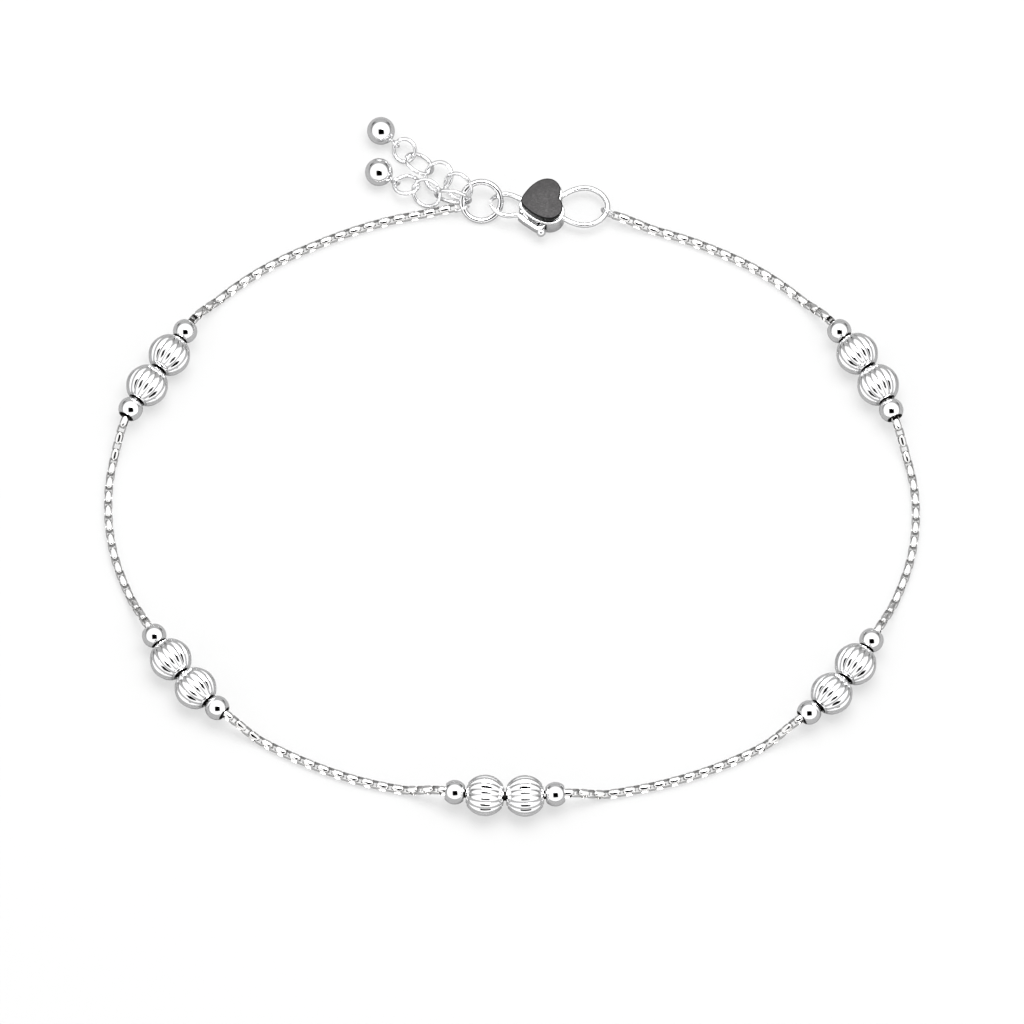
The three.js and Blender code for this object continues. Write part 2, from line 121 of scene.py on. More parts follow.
HEART_LENGTH = 4.15 * MM
HEART_WIDTH = 4.4 * MM
HEART_TURN = 6
PLATE_BOTTOM = 2.35 * MM
PLATE_TOP = 3.3 * MM
PLATE_EDGE = 0.1 * MM
FLAT_NORMAL = 0.97
HOUSING_TOP = 2.3 * MM
HOUSING_LEDGE = 0.2 * MM
HOUSING_EDGE = 0.14 * MM
CLAW_WIRE = 0.52 * MM
CLAW_REACH = 5.2 * MM
CLAW_WIDTH = 2.75 * MM
HOOK_HEIGHT = 0.82 * MM
GATE_HEIGHT = 1.75 * MM
BAIL_WIRE = 0.54 * MM
BAIL_REACH = 6.56 * MM
BAIL_WIDTH = 4.05 * MM
BAIL_HEIGHT = 1.3 * MM
STRIP_WIDTH = 0.5 * MM
STRIP_BOTTOM = 0.9 * MM
STRIP_TOP = 1.95 * MM
STRIP_EDGE = 0.07 * MM
NUB_DIAMETER = 0.95 * MM
LEVER_PIVOT = Vector((0.95, -1.15, 0)) * MM
LEVER_OPENING = 6
LEVER_CLEARANCE = 0.12 * MM

CLASP_PLACE = Vector((3.04 * MM, LOOP_DEPTH / 2 + 0.6 * MM, 0))
RING_PLACE = Vector((-3.07 * MM, LOOP_DEPTH / 2 + 1.25 * MM, 0))

CUT_TOLERANCE = 0.0001 * MM

# The photograph: 102.4 mm across its picture, taken from this angle over the table
CAMERA_ELEVATION = math.radians(67.5)
TO_CAMERA = Vector((0, -math.cos(CAMERA_ELEVATION), math.sin(CAMERA_ELEVATION)))
PICTURE_WIDTH = 102.4 * MM
SENSOR_WIDTH = 36
LENS = 1000

# Light table and lamp
TABLE_TONE = 0.66
TABLE_CLEARNESS = 0.7
TABLE_LAMP = 0.71
TABLE_LAMP_RIM = 9
TABLE_LAMP_CORE = 5
UNDER_TABLE = 0.18
LAMP_SIZE = (0.6, 0.4)
LAMP_POWER = 6.2
LAMP_PLACE = Vector((0.07, 0.16, 0.68))

# The tent is bright around the camera and darker low down: where it brightens, and its strength
DOME_SPREAD = (0.08, 0.3)
DOME_STRENGTH = (0.3, 1.2)
HORIZON = 0.02

# Patches of the tent's wall: elevation, bearing, half width and half height in degrees, softness of the rim
FAR_GLOW = (16, 0, 30, 12, 0.1)
FAR_GLOW_GAIN = 0.7
CAMERA_OPENING = (58.5, 175, 23, 22, 0.04)
SIDE_GAPS = ((3, -45, 9, 6, 0.05), (3, 45, 9, 6, 0.05))

# Loop seen from above, clockwise from the clasp to the jump ring,
# in shares of half its width and half its depth
LOOP_ROUTE = [
    (0.335, 0.956), (0.464, 0.902), (0.625, 0.802), (0.759, 0.665), (0.854, 0.515), (0.908, 0.406),
    (0.96, 0.256), (1, 0.047), (0.99, -0.156), (0.928, -0.368), (0.851, -0.537), (0.794, -0.633),
    (0.717, -0.718), (0.566, -0.833), (0.395, -0.914), (0.211, -0.961), (0.036, -0.981), (-0.062, -0.98),
    (-0.238, -0.949), (-0.4, -0.902), (-0.563, -0.817), (-0.707, -0.708), (-0.782, -0.621), (-0.844, -0.524),
    (-0.916, -0.374), (-0.988, -0.144), (-1, 0.078), (-0.96, 0.287), (-0.906, 0.402), (-0.851, 0.505),
    (-0.769, 0.661), (-0.638, 0.799), (-0.476, 0.905),
]
BEAD_GROUPS = {
    "upper_right": 0.147, "lower_right": 0.3175, "bottom": 0.493, "lower_left": 0.6615, "upper_left": 0.8305,
}

# Strand links from the jump ring outwards: outer size, middle from the ring's place in millimetres,
# lean of the axis and its bearing
STRANDS = {
    "upper": {
        "ball_heading": 141,
        "links": [
            (LINK_OUTER, (-2.31, 1.43, 1.61), 57, -122),
            (LINK_OUTER, (-4.3, 2.72, 1.21), 27, -156),
            (LINK_OUTER, (-6.24, 4.12, 1.06), 37, 46),
            (UPPER_LAST_OUTER, (-7.73, 5.65, 0.92), 36, -130),
        ],
    },
    "lower": {
        "ball_heading": 155,
        "links": [
            (LOWER_FIRST_OUTER, (-2.86, 0.14, 1.93), 85, 79),
            (LINK_OUTER, (-5.51, 0.84, 1.32), 49, -121),
            (LOWER_LAST_OUTER, (-7.51, 1.86, 1), 22, 104),
        ],
    },
}

# The jump ring is symmetrical, so its box gives where the whole jewel was shifted to
ring_low, ring_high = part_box("jump_ring")
shift = (ring_low + ring_high) / 2 - RING_PLACE
shift.z = 0
place_clasp = Matrix.Translation(CLASP_PLACE + shift)

scene = bpy.context.scene
scene.view_settings.view_transform = "Standard"


# Modelling helpers
def pick(piece):
    bpy.ops.object.select_all(action="DESELECT")
    piece.select_set(True)
    bpy.context.view_layer.objects.active = piece


def in_edit(piece, choose=None):
    """Opens the piece in edit mode with the points that choose accepts selected, or all of them."""
    pick(piece)
    bpy.ops.object.mode_set(mode="EDIT")
    bpy.ops.mesh.select_mode(type="VERT")
    bpy.ops.mesh.select_all(action="SELECT" if choose is None else "DESELECT")
    if choose is not None:
        bpy.ops.object.mode_set(mode="OBJECT")
        for point in piece.data.vertices:
            point.select = choose(point.co)
        bpy.ops.object.mode_set(mode="EDIT")


def out_of_edit():
    bpy.ops.object.mode_set(mode="OBJECT")


def named(name):
    piece = bpy.context.object
    piece.name = name
    piece.data.name = name
    return piece


def apply_all(piece):
    pick(piece)
    for modifier in list(piece.modifiers):
        bpy.ops.object.modifier_apply(modifier=modifier.name)


def tidy_shell(piece, merge=0.001 * MM):
    in_edit(piece)
    bpy.ops.mesh.remove_doubles(threshold=merge)
    bpy.ops.mesh.normals_make_consistent(inside=False)
    out_of_edit()


def smooth(piece, angle=35):
    pick(piece)
    bpy.ops.object.shade_smooth_by_angle(angle=math.radians(angle))


def place(piece, matrix):
    """Puts the piece's own mesh where the matrix says and leaves the object at the origin."""
    piece.data.transform(matrix)
    piece.data.update()


def copy_of(piece, name):
    twin = piece.copy()
    twin.data = piece.data.copy()
    twin.name = name
    twin.data.name = name
    scene.collection.objects.link(twin)
    return twin


def join(pieces, name):
    pick(pieces[0])
    for piece in pieces[1:]:
        piece.select_set(True)
    bpy.ops.object.join()
    return named(name)


def cut(piece, cutter, operation="DIFFERENCE"):
    modifier = piece.modifiers.new("cut", "BOOLEAN")
    modifier.operation = operation
    modifier.solver = "EXACT"
    modifier.object = cutter
    apply_all(piece)
    bpy.data.objects.remove(cutter)


def finish_piece(piece, body, material, slot, *nodes):
    piece.data.materials.append(material)
    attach(piece, body)
    if nodes:
        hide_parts(*nodes)


# Materials
CLOUD_SCALE = 900
SCUFF_SCALE = 2600
HAIRLINE_SCALE = 5200
MARK_DEPTH = 0.01 * MM
FACE_DARK = (0.031, 0.0297, 0.0301)
FACE_LIGHT = (0.041, 0.0393, 0.0398)
EDGE_DARK = (0.003, 0.003, 0.003)
EDGE_LIGHT = (0.007, 0.0068, 0.0068)
# Dark silver of the bead bores and ends and of the chain inside the beads: tarnish together with painted
# shade of the joints between beads
TARNISH_AND_SHADE_DARK = (0.008, 0.0075, 0.007)
TARNISH_AND_SHADE_LIGHT = (0.03, 0.028, 0.026)


def new_material(name):
    material = bpy.data.materials.new(name)
    material.use_nodes = True
    return material, material.node_tree.nodes, material.node_tree.links


def object_noise(nodes, links, scale, detail=3, stretch=(1, 1, 1)):
    where = nodes.new("ShaderNodeTexCoord")
    turn = nodes.new("ShaderNodeMapping")
    turn.inputs["Scale"].default_value = stretch
    noise = nodes.new("ShaderNodeTexNoise")
    noise.inputs["Scale"].default_value = scale
    noise.inputs["Detail"].default_value = detail
    links.new(where.outputs["Object"], turn.inputs["Vector"])
    links.new(turn.outputs["Vector"], noise.inputs["Vector"])
    return noise.outputs["Fac"]


def ranged(nodes, links, value, low, high, start=0.35, end=0.65):
    spread = nodes.new("ShaderNodeMapRange")
    spread.inputs["From Min"].default_value = start
    spread.inputs["From Max"].default_value = end
    spread.inputs["To Min"].default_value = low
    spread.inputs["To Max"].default_value = high
    links.new(value, spread.inputs["Value"])
    return spread.outputs["Result"]


def blended(nodes, links, value, first, second):
    mix = nodes.new("ShaderNodeMix")
    mix.data_type = "RGBA"
    mix.inputs["A"].default_value = (*first, 1)
    mix.inputs["B"].default_value = (*second, 1)
    links.new(value, mix.inputs["Factor"])
    return mix.outputs["Result"]


def bumped(nodes, links, height, distance, strength):
    bump = nodes.new("ShaderNodeBump")
    bump.inputs["Distance"].default_value = distance
    bump.inputs["Strength"].default_value = strength
    links.new(height, bump.inputs["Height"])
    return bump.outputs["Normal"]


def polished_silver(name, dark, light, rough_low, rough_high, marks):
    material, nodes, links = new_material(name)
    shader = nodes["Principled BSDF"]
    shader.inputs["Metallic"].default_value = 1
    cloud = object_noise(nodes, links, CLOUD_SCALE)
    links.new(blended(nodes, links, cloud, dark, light), shader.inputs["Base Color"])
    scuff = object_noise(nodes, links, SCUFF_SCALE, 4, (1, 0.35, 1))
    links.new(ranged(nodes, links, scuff, rough_low, rough_high), shader.inputs["Roughness"])
    hairline = object_noise(nodes, links, HAIRLINE_SCALE, 2, (1, 0.12, 1))
    links.new(bumped(nodes, links, hairline, MARK_DEPTH, marks), shader.inputs["Normal"])
    return material


def heart_face():
    material, nodes, links = new_material("gunmetal_heart_face")
    shader = nodes["Principled BSDF"]
    shader.inputs["Metallic"].default_value = 0.7
    blotch = object_noise(nodes, links, 3200, 4)
    shade = ranged(nodes, links, blotch, 0, 1)
    links.new(blended(nodes, links, shade, FACE_DARK, FACE_LIGHT), shader.inputs["Base Color"])
    grain = object_noise(nodes, links, 6000, 3)
    links.new(ranged(nodes, links, grain, 0.46, 0.6), shader.inputs["Roughness"])
    links.new(bumped(nodes, links, grain, MARK_DEPTH, 0.25), shader.inputs["Normal"])
    return material


def heart_edge():
    material, nodes, links = new_material("black_heart_edge")
    shader = nodes["Principled BSDF"]
    shader.inputs["Metallic"].default_value = 0
    shader.inputs["Specular IOR Level"].default_value = 0.08
    wear = object_noise(nodes, links, 3000, 3)
    shade = ranged(nodes, links, wear, 0, 1)
    links.new(blended(nodes, links, shade, EDGE_DARK, EDGE_LIGHT), shader.inputs["Base Color"])
    links.new(ranged(nodes, links, wear, 0.16, 0.3), shader.inputs["Roughness"])
    return material


# Tarnished silver that also paints the shade in the bead joints and bores
def blackened_and_shaded_silver():
    material, nodes, links = new_material("blackened_and_shaded_silver")
    shader = nodes["Principled BSDF"]
    shader.inputs["Metallic"].default_value = 0.6
    stain_and_shade = object_noise(nodes, links, 2500, 3)
    shade = ranged(nodes, links, stain_and_shade, 0, 1)
    links.new(blended(nodes, links, shade, TARNISH_AND_SHADE_DARK, TARNISH_AND_SHADE_LIGHT), shader.inputs["Base Color"])
    links.new(ranged(nodes, links, stain_and_shade, 0.35, 0.6), shader.inputs["Roughness"])
    return material


silver = polished_silver("polished_silver", (0.86, 0.86, 0.868), (0.93, 0.93, 0.935), 0.04, 0.08, 0.05)
bead_silver = polished_silver("bead_silver", (0.87, 0.87, 0.875), (0.94, 0.94, 0.945), 0.03, 0.06, 0.03)
chain_silver = polished_silver("chain_silver", (0.78, 0.775, 0.77), (0.9, 0.895, 0.89), 0.05, 0.1, 0.06)
gunmetal = heart_face()
black_edge = heart_edge()
tarnish_and_shade = blackened_and_shaded_silver()


# The chain's line, a smooth curve through the route's points
def smooth_span(before, start, end, after, t):
    """One span of a centripetal spline."""
    steps = [max((b - a).length ** 0.5, 1e-6) for a, b in ((before, start), (start, end), (end, after))]
    leave = (start - before) / steps[0] - (end - before) / (steps[0] + steps[1]) + (end - start) / steps[1]
    arrive = (end - start) / steps[1] - (after - start) / (steps[1] + steps[2]) + (after - end) / steps[2]
    leave *= steps[1]
    arrive *= steps[1]
    return (
        start + leave * t
        + (-3 * start + 3 * end - 2 * leave - arrive) * t * t
        + (2 * start - 2 * end + leave + arrive) * t ** 3
    )


def route_line(per_span=60):
    points = [
        CLASP_PLACE + Vector((BAIL_REACH + CHAIN_START_GAP, -CHAIN_START_SIDE, 0)),
        *(Vector((across * LOOP_WIDTH / 2, along * LOOP_DEPTH / 2, 0)) for across, along in LOOP_ROUTE),
        RING_PLACE - Vector((CHAIN_BEND_GAP, CHAIN_BEND_SIDE, 0)),
        RING_PLACE - Vector((CHAIN_END_GAP, CHAIN_END_SIDE, 0)),
    ]
    points = [2 * points[0] - points[1], *points, 2 * points[-1] - points[-2]]
    line = []
    for i in range(1, len(points) - 2):
        line += [smooth_span(*points[i - 1:i + 3], k / per_span) for k in range(per_span)]
    line.append(points[-2])
    lengths = [0]
    for a, b in zip(line, line[1:]):
        lengths.append(lengths[-1] + (b - a).length)
    return line, lengths


LINE, LENGTHS = route_line()
ROUTE_LENGTH = LENGTHS[-1]


def smoothstep(value, length):
    t = min(max(value / length, 0), 1)
    return t * t * (3 - 2 * t)


def axis_of(lean, bearing):
    lean, bearing = math.radians(lean), math.radians(bearing)
    return Vector((math.sin(lean) * math.cos(bearing), math.sin(lean) * math.sin(bearing), math.cos(lean)))


ring_radius = (RING_OUTER - RING_WIRE) / 2
ring_rise = RING_WIRE / 2 + ring_radius * math.sin(math.radians(RING_TILT)) + FLOOR_CLEARANCE
ring_centre = RING_PLACE + Vector((0, 0, ring_rise))
ring_axis = axis_of(RING_TILT, -90)


def ring_out(angle):
    a, t = math.radians(angle), math.radians(RING_TILT)
    return Vector((math.cos(a), math.sin(a) * math.cos(t), math.sin(a) * math.sin(t)))


chain_hold = ring_centre + ring_out(RING_HOLD_ANGLE) * ring_radius
group_half = FLUTED_LENGTH + BEAD_GAP / 2 + PLAIN_GAP + PLAIN_LENGTH / 2


def height_at(distance):
    """The chain lies on the floor, and rises to the beads, the bail and the jump ring."""
    nearest = min(abs(distance - share * ROUTE_LENGTH) for share in BEAD_GROUPS.values())
    low = CHAIN_DIAMETER / 2
    beside = smoothstep(nearest - group_half - PLAIN_LENGTH / 2 - DROP_START, DROP_LENGTH)
    return (
        low + (FLUTED_DIAMETER / 2 - low) * (1 - beside)
        + (BAIL_HEIGHT - low) * (1 - smoothstep(distance, DROP_LENGTH))
        + (chain_hold.z - low) * (1 - smoothstep(ROUTE_LENGTH - distance, DROP_LENGTH))
    )


def route_point(distance):
    d = min(max(distance, 0), ROUTE_LENGTH)
    low, high = 0, len(LENGTHS) - 1
    while high - low > 1:
        middle = (low + high) // 2
        if LENGTHS[middle] <= d:
            low = middle
        else:
            high = middle
    share = (d - LENGTHS[low]) / (LENGTHS[high] - LENGTHS[low])
    point = LINE[low].lerp(LINE[high], share)
    if distance != d:
        end, inner = (LINE[0], LINE[1]) if distance < 0 else (LINE[-1], LINE[-2])
        point = end + (end - inner).normalized() * abs(distance - d)
    point.z = height_at(d)
    return point


def route_direction(distance, reach=0.5 * MM):
    return (route_point(distance + reach) - route_point(distance - reach)).normalized()


def along_route(distance, roll=0):
    """Matrix that lays a piece's X axis along the chain, with Z upwards, turned by roll about the chain."""
    forward = route_direction(distance)
    side = Vector((0, 0, 1)).cross(forward).normalized()
    up = forward.cross(side)
    basis = Matrix((forward, side, up)).transposed().to_4x4()
    spot = Matrix.Translation(route_point(distance) + shift)
    return spot @ basis @ Matrix.Rotation(math.radians(roll), 4, "X")


# Box chain
def chain_link(length):
    """One box link: a short round bar opened across, its ends narrowed to enter the next links."""
    half, radius = length / 2, CHAIN_DIAMETER / 2
    bpy.ops.object.select_all(action="DESELECT")
    bpy.ops.mesh.primitive_cylinder_add(
        vertices=14, radius=radius, depth=length, rotation=(0, math.pi / 2, 0), end_fill_type="NGON",
    )
    link = named("chain_link")
    bpy.ops.object.transform_apply(rotation=True)
    for side in (1, -1):
        in_edit(link, lambda co: side * co.x > half * CHAIN_END_FACE)
        bpy.ops.mesh.bevel(offset=CHAIN_EDGE_ROUNDING, segments=2, affect="EDGES")
        out_of_edit()
    in_edit(link)
    for side in (1, -1):
        bpy.ops.mesh.select_all(action="SELECT")
        bpy.ops.mesh.bisect(
            plane_co=(0, side * CHAIN_BAND_WIDTH / 2, 0), plane_no=(0, side, 0),
            clear_outer=True, use_fill=True, threshold=CUT_TOLERANCE,
        )
    for side in (1, -1):
        bpy.ops.mesh.select_all(action="SELECT")
        bpy.ops.mesh.bisect(
            plane_co=(side * half * CHAIN_WIDE_SHARE, 0, 0), plane_no=(1, 0, 0), threshold=CUT_TOLERANCE,
        )
    out_of_edit()
    bpy.ops.object.select_all(action="DESELECT")
    bpy.ops.mesh.primitive_cube_add(size=1, scale=(
        length - 2 * CHAIN_WALL, CHAIN_DIAMETER * 2, CHAIN_DIAMETER - 2 * CHAIN_WALL,
    ))
    opening = named("opening")
    bpy.ops.object.transform_apply(scale=True)
    cut(link, opening)
    in_edit(link, lambda co: abs(co.x) > half * CHAIN_NARROW_SHARE)
    bpy.ops.transform.resize(value=(1, CHAIN_END_NARROWING, 1), center_override=(0, 0, 0))
    out_of_edit()
    tidy_shell(link, 0.0005 * MM)
    smooth(link, 50)
    return link


def in_bead_group(distance):
    """The chain runs inside the beads here, where its links are coloured dark: tarnish with painted shade of
    the joints between beads.
    """
    reach = group_half + PLAIN_LENGTH / 2 - DARK_CHAIN_MARGIN
    return any(abs(distance - share * ROUTE_LENGTH) < reach for share in BEAD_GROUPS.values())


def make_chain():
    upward, sideways = chain_link(CHAIN_UP_LENGTH), chain_link(CHAIN_SIDE_LENGTH)
    place(sideways, Matrix.Diagonal((1, 1, CHAIN_SIDE_NARROWING, 1)))
    start, end = -CHAIN_OVERRUN, ROUTE_LENGTH + CHAIN_OVERRUN
    count = round((end - start) / CHAIN_PITCH) // 2 * 2 + 1
    links = {"bright": [], "darkened": []}
    for i in range(count):
        distance = start + (end - start) * i / (count - 1)
        link = copy_of(upward if i % 2 else sideways, f"chain_link_{i}")
        place(link, along_route(distance, 90 * (1 - i % 2)))
        links["darkened" if in_bead_group(distance) else "bright"].append(link)
    for pattern in (upward, sideways):
        bpy.data.objects.remove(pattern)
    bright = join(links["bright"], "box_chain_links")
    finish_piece(bright, "anklet", chain_silver, "silver", "box_chain")
    # Links inside the bead groups take the dark silver: tarnish with painted shade of the bead joints
    darkened = join(links["darkened"], "box_chain_in_beads")
    finish_piece(darkened, "anklet", tarnish_and_shade, "silver")


# Round wire rings
def wire_ring(name, outer, wire, centre, axis, around=96, section=20):
    bpy.ops.mesh.primitive_torus_add(
        major_segments=around, minor_segments=section, major_radius=(outer - wire) / 2, minor_radius=wire / 2,
    )
    ring = named(name)
    turn = Vector((0, 0, 1)).rotation_difference(axis).to_matrix().to_4x4()
    place(ring, Matrix.Translation(centre + shift) @ turn)
    smooth(ring)
    return ring


def make_end_links():
    inside = END_LINK_OUTER / 2 - END_LINK_WIRE - WIRE_CLEARANCE
    bail_hold = CLASP_PLACE + Vector((BAIL_REACH - BAIL_HOLD_BACK, -BAIL_HOLD_SIDE, BAIL_HEIGHT))
    bail_out = axis_of(90, BAIL_HOLD_BEARING)
    bail_along = axis_of(90, BAIL_HOLD_BEARING + BAIL_HOLD_TURN)
    ring_side = ring_out(RING_HOLD_ANGLE)
    for name, hold, held, out, axis in (
        ("end_link_bail", bail_hold, BAIL_WIRE, bail_out, bail_along),
        ("end_link_ring", chain_hold, RING_WIRE, ring_side, ring_axis.cross(ring_side)),
    ):
        centre = hold + out * (inside - held / 2)
        link = wire_ring(f"{name}_round", END_LINK_OUTER, END_LINK_WIRE, centre, axis, 48, 14)
        finish_piece(link, "anklet", silver, "silver", name)


def make_jump_ring():
    """The ring is one bent wire, so it has a fine seam where its ends meet."""
    points = []
    for i in range(RING_STEPS + 1):
        angle = RING_SEAM_ANGLE + RING_SEAM_HALF + (360 - 2 * RING_SEAM_HALF) * i / RING_STEPS
        a = math.radians(angle)
        points.append(Vector((ring_radius * math.cos(a), ring_radius * math.sin(a), 0)))
    ring = bent_wire("jump_ring_wire", points, RING_WIRE)
    lean = Matrix.Rotation(math.radians(RING_TILT), 4, "X")
    place(ring, Matrix.Translation(ring_centre + shift) @ lean)
    finish_piece(ring, "anklet", silver, "silver", "jump_ring")


def make_strands():
    for strand, parts in STRANDS.items():
        for number, (outer, spot, lean, bearing) in enumerate(parts["links"], 1):
            name = f"link_{strand}_{number}"
            grown = outer + LINK_WIRE - CAD_LINK_WIRE
            centre = RING_PLACE + Vector(spot) * MM
            link = wire_ring(f"{name}_round", grown, LINK_WIRE, centre, axis_of(lean, bearing))
            finish_piece(link, "anklet", silver, "silver", name)
        make_drop_ball(strand, parts)


def make_drop_ball(strand, parts):
    outer, spot, lean, bearing = parts["links"][-1]
    radius = BALL_DIAMETER / 2
    eye_radius = (CAD_LINK_WIRE + BALL_EYE_WIRE) / 2 + WIRE_CLEARANCE
    eye_reach = radius + eye_radius + BALL_NECK
    bpy.ops.mesh.primitive_uv_sphere_add(segments=64, ring_count=32, radius=radius)
    ball = named(f"drop_ball_{strand}_round")
    place(ball, Matrix.Rotation(math.radians(90), 4, "Y"))
    # A small boss stands on the ball under the eye
    in_edit(ball, lambda co: co.x > radius * math.cos(math.radians(BOSS_HALF_ANGLE)))
    bpy.ops.mesh.extrude_region_move(TRANSFORM_OT_translate={"value": (BOSS_HEIGHT, 0, 0)})
    bpy.ops.transform.resize(value=(1, BOSS_TAPER, BOSS_TAPER), center_override=(radius, 0, 0))
    out_of_edit()
    bpy.ops.object.select_all(action="DESELECT")
    bpy.ops.mesh.primitive_torus_add(
        major_segments=40, minor_segments=14, major_radius=eye_radius, minor_radius=BALL_EYE_WIRE / 2,
    )
    eye = named("eye")
    place(eye, Matrix.Translation((eye_reach, 0, 0)) @ Matrix.Rotation(math.radians(90), 4, "X"))
    cut(ball, eye, "UNION")

    axis = axis_of(lean, bearing)
    angle = math.radians(parts["ball_heading"])
    heading = Vector((math.cos(angle), math.sin(angle), 0))
    out = (heading - axis * heading.dot(axis)).normalized()
    hold = RING_PLACE + Vector(spot) * MM + out * (outer - CAD_LINK_WIRE) / 2
    middle_height = radius + FLOOR_CLEARANCE
    run = math.sqrt(eye_reach ** 2 - (middle_height - hold.z) ** 2)
    middle = hold + heading * run
    middle.z = middle_height
    back = (hold - middle).normalized()
    across = axis.cross(out)
    across = (across - back * across.dot(back)).normalized()
    basis = Matrix((back, across, back.cross(across))).transposed().to_4x4()
    place(ball, Matrix.Translation(middle + shift) @ basis)
    smooth(ball)
    finish_piece(ball, "anklet", bead_silver, "silver", f"drop_ball_{strand}")


# Beads
def open_ends(bead, cut_height, collar, rise, bore, length):
    """Cuts the bead's ends flat and turns a collar and a bore into each."""
    for side in (1, -1):
        in_edit(bead)
        bpy.ops.mesh.bisect(
            plane_co=(0, 0, side * cut_height), plane_no=(0, 0, side),
            clear_outer=True, threshold=CUT_TOLERANCE,
        )
        out_of_edit()
    top = cut_height + rise
    steps = (
        (collar / 2, cut_height),
        (collar / 2, cut_height + rise * 0.7),
        (collar / 2 - COLLAR_CHAMFER, top),
        (bore / 2 + BORE_LIP, top),
        (bore / 2, top - COLLAR_CHAMFER),
        (bore / 2, length * 0.12),
    )
    for side in (1, -1):
        in_edit(bead, lambda co: abs(co.z - side * cut_height) < 0.005 * MM)
        height = cut_height
        for radius, level in steps:
            bpy.ops.mesh.extrude_edges_move(TRANSFORM_OT_translate={"value": (0, 0, side * (level - height))})
            bpy.ops.transform.tosphere(value=1)
            out_of_edit()
            chosen = [p.co for p in bead.data.vertices if p.select]
            now = sum(math.hypot(co.x, co.y) for co in chosen) / len(chosen)
            bpy.ops.object.mode_set(mode="EDIT")
            scale = radius / now
            bpy.ops.transform.resize(value=(scale, scale, 1), center_override=(0, 0, side * level))
            height = level
        out_of_edit()
    tidy_shell(bead)


def darken_ends(bead, length):
    """The bore and the flat ends are coloured dark: tarnish where no cloth reaches, with painted shade for
    the dark joints between beads.
    """
    for face in bead.data.polygons:
        out = math.hypot(face.center.x, face.center.y)
        in_bore = out < BEAD_BORE / 2 + BORE_MARGIN
        on_end = abs(face.center.z) > length / 2 - END_MARGIN
        face.material_index = 1 if in_bore or on_end else 0


# Share of the flute's depth at each column, from the groove to the flute's crest
FLUTE_SHARES = (1, 0.5625, 0.25, 0.0625, 0)


def fluted_bead():
    per_flute = 2 * (len(FLUTE_SHARES) - 1)
    columns = FLUTE_COUNT * per_flute
    bpy.ops.mesh.primitive_uv_sphere_add(segments=columns, ring_count=48, radius=FLUTED_DIAMETER / 2)
    bead = named("fluted_bead")
    for step, share in enumerate(FLUTE_SHARES[:-1]):
        def in_column(co):
            column = round(math.atan2(co.y, co.x) / math.tau * columns) % per_flute
            return math.hypot(co.x, co.y) > 0.02 * MM and min(column, per_flute - column) == step
        in_edit(bead, in_column)
        scale = 1 - share * FLUTE_DEPTH / (FLUTED_DIAMETER / 2)
        bpy.ops.transform.resize(value=(scale, scale, 1), center_override=(0, 0, 0))
        out_of_edit()
    cut_height = FLUTED_LENGTH / 2 - COLLAR_HEIGHT
    open_ends(bead, cut_height, COLLAR_DIAMETER, COLLAR_HEIGHT, BEAD_BORE, FLUTED_LENGTH)
    smooth(bead, 40)
    darken_ends(bead, FLUTED_LENGTH)
    return bead


def plain_bead():
    bpy.ops.mesh.primitive_uv_sphere_add(segments=64, ring_count=36, radius=PLAIN_DIAMETER / 2)
    bead = named("plain_bead")
    cut_height = PLAIN_LENGTH / 2 - PLAIN_RIM_HEIGHT
    rim = 2 * math.sqrt((PLAIN_DIAMETER / 2) ** 2 - cut_height ** 2) - PLAIN_RIM_STEP
    open_ends(bead, cut_height, rim, PLAIN_RIM_HEIGHT, PLAIN_BORE, PLAIN_LENGTH)
    smooth(bead, 40)
    darken_ends(bead, PLAIN_LENGTH)
    return bead


def make_beads():
    fluted, plain = fluted_bead(), plain_bead()
    upright = Matrix.Rotation(math.radians(90), 4, "Y")
    fluted_offset = (FLUTED_LENGTH + BEAD_GAP) / 2
    for group, share in BEAD_GROUPS.items():
        middle = share * ROUTE_LENGTH
        for kind, pattern, offset in (("fluted", fluted, fluted_offset), ("plain", plain, group_half)):
            for number, side in ((1, -1), (2, 1)):
                node = f"{kind}_bead_{group}_{number}"
                bead = copy_of(pattern, f"{node}_polished")
                place(bead, along_route(middle + side * offset) @ upright)
                finish_piece(bead, "anklet", bead_silver, "silver", node)
                # The bores and ends take the dark silver: tarnish with painted shade of the joints between
                # beads
                bead.data.materials.append(tarnish_and_shade)
    for pattern in (fluted, plain):
        bpy.data.objects.remove(pattern)


# Curves
def new_curve(name, count):
    """A curve of so many knots, still to be placed."""
    bpy.ops.curve.primitive_bezier_curve_add()
    line = named(name).data
    line.splines.clear()
    spline = line.splines.new("BEZIER")
    spline.bezier_points.add(count - 1)
    return bpy.context.object, line, spline


def as_mesh(piece, name):
    pick(piece)
    bpy.ops.object.convert(target="MESH")
    piece = named(name)
    tidy_shell(piece)
    return piece


def bent_wire(name, points, thickness, radii=None):
    """A round wire bent through the points."""
    wire, line, spline = new_curve(name, len(points))
    for i, (knot, point) in enumerate(zip(spline.bezier_points, points)):
        knot.co = point
        knot.handle_left_type = knot.handle_right_type = "AUTO"
        knot.radius = radii[i] if radii else 1
    line.dimensions = "3D"
    line.bevel_depth = thickness / 2
    line.bevel_resolution = 8
    line.resolution_u = 4 if len(points) > 30 else 14
    line.use_fill_caps = True
    wire = as_mesh(wire, name)
    smooth(wire)
    return wire


# Clasp, whose heart outline has its tip to -X: knots with their two handles, in shares of length and width
HEART_KNOTS = [
    ((-0.52, 0), (-0.52, 0.12), (-0.52, -0.12)),
    ((0.14, -0.5), (-0.17, -0.5), (0.36, -0.5)),
    ((0.47, -0.18), (0.48, -0.33), (0.46, -0.1)),
    ((0.41, 0), (0.42, -0.05), (0.42, 0.05)),
    ((0.47, 0.18), (0.46, 0.1), (0.48, 0.33)),
    ((0.14, 0.5), (0.36, 0.5), (-0.17, 0.5)),
]


